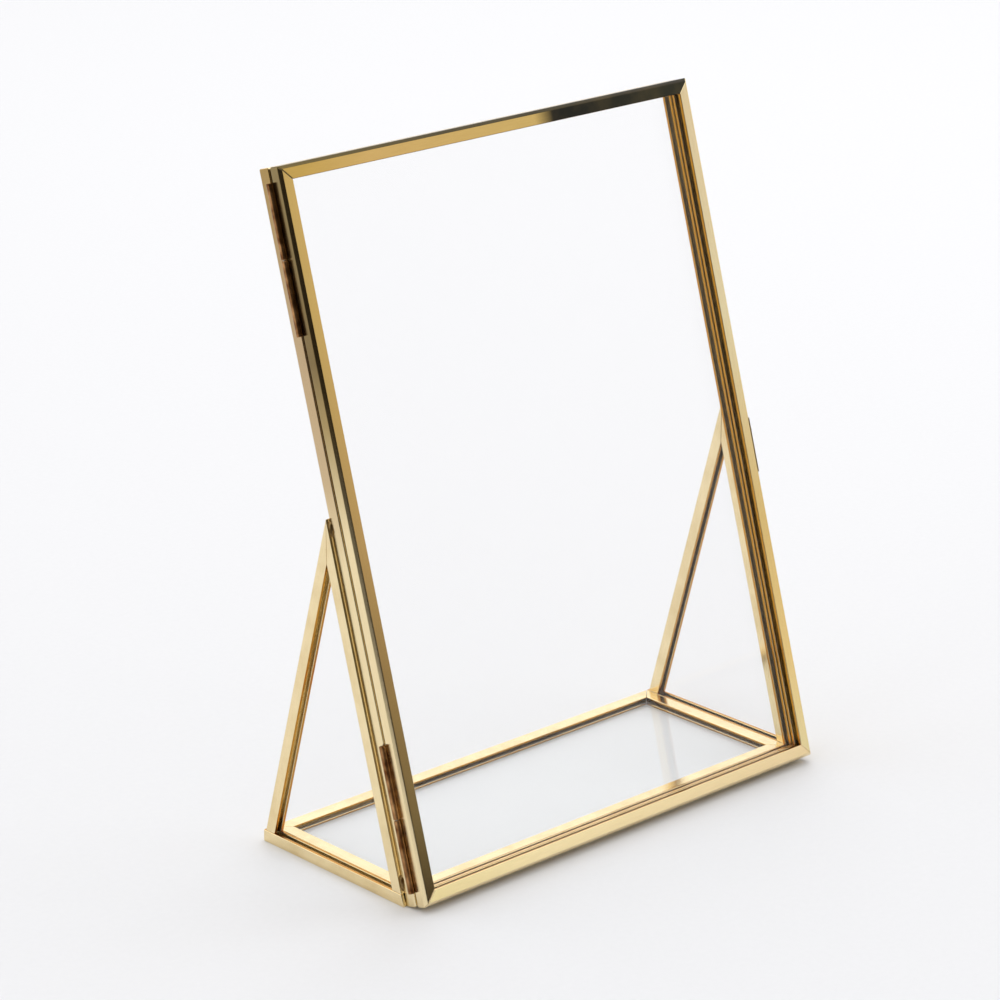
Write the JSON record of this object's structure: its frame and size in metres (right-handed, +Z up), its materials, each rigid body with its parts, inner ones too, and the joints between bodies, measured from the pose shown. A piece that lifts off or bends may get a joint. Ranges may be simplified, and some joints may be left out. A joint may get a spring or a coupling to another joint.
{
  "type": "standing glass picture frame",
  "caption": "Tabletop display frame: a leaning brass-edged glass panel with a hinged glass door, carried by a low glass tray and a glazed triangular support at each side.",
  "frame": {"origin": "middle of the footprint on the table", "axes": "+Z up; +X to the right seen from the front; the picture side and the door face -Y and the panel leans back towards +Y"},
  "size_m": [0.161, 0.0686, 0.2016],
  "materials": {
    "brass_strip": "lightly brushed brass strip, aged to a soft antique tone",
    "barrel_brass": "dark antique brass tube",
    "pin_steel": "plain drawn wire",
    "solder": "tin solder under the same antique brass finish",
    "clear_glass": "clear float glass, polished, plain cut edges hidden in the strips"
  },
  "bodies": {
    "stand": {"rear_frame_bottom_rail": "brass_strip", "rear_frame_top_rail": "brass_strip", "rear_frame_left_stile": "brass_strip", "rear_frame_right_stile": "brass_strip", "rear_frame_glass": "clear_glass", "tray_front_rail": "brass_strip", "tray_rear_rail": "brass_strip", "tray_left_rail": "brass_strip", "tray_right_rail": "brass_strip", "tray_glass": "clear_glass", "left_side_front_leg": "brass_strip", "left_side_rear_leg": "brass_strip", "left_side_bottom_strip": "brass_strip", "left_side_glass": "clear_glass", "left_side_solder": "solder", "right_side_front_leg": "brass_strip", "right_side_rear_leg": "brass_strip", "right_side_bottom_strip": "brass_strip", "right_side_glass": "clear_glass", "right_side_solder": "solder", "upper_hinge_frame_knuckle": "barrel_brass", "upper_hinge_pin": "pin_steel", "lower_hinge_frame_knuckle": "barrel_brass", "lower_hinge_pin": "pin_steel"},
    "door": {"door_bottom_rail": "brass_strip", "door_top_rail": "brass_strip", "door_left_stile": "brass_strip", "door_right_stile": "brass_strip", "door_glass": "clear_glass", "upper_hinge_door_knuckle": "barrel_brass", "lower_hinge_door_knuckle": "barrel_brass", "catch_tab": "brass_strip", "catch_knob": "brass_strip"}
  },
  "joints": [
    {"name": "door_hinge", "type": "hinge", "parent": "stand", "child": "door", "pos_m": [-0.0798, -0.00089, 0.10095], "axis": [0, -0.284, -0.9588], "range_deg": [0, 160]}
  ]
}
